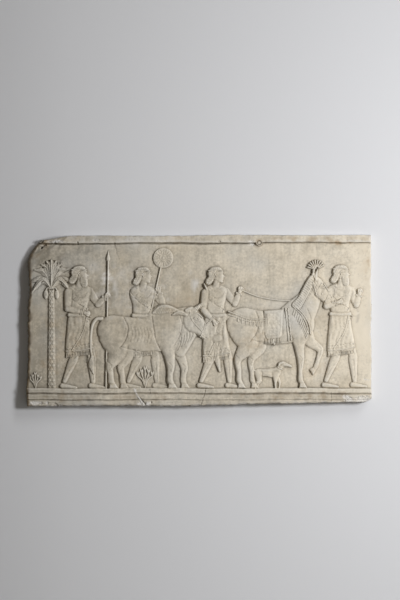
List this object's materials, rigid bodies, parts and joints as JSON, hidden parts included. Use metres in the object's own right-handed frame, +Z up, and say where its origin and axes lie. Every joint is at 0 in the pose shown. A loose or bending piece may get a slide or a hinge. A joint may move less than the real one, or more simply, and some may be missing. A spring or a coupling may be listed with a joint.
{
  "type": "plaster bas-relief",
  "caption": "Oblong plaster wall relief with a procession of figures and animals between plain mouldings, worn and chipped.",
  "frame": {"origin": "centre of the flat back face", "axes": "+X along the length to the viewer's right, +Y out of the back face into the wall, +Z up"},
  "size_m": [1.0157, 0.0476, 0.5004],
  "materials": {
    "plaster": "matt, aged, with dirt in the recesses"
  },
  "bodies": {
    "root": {"relief_panel": "plaster"}
  },
  "joints": []
}
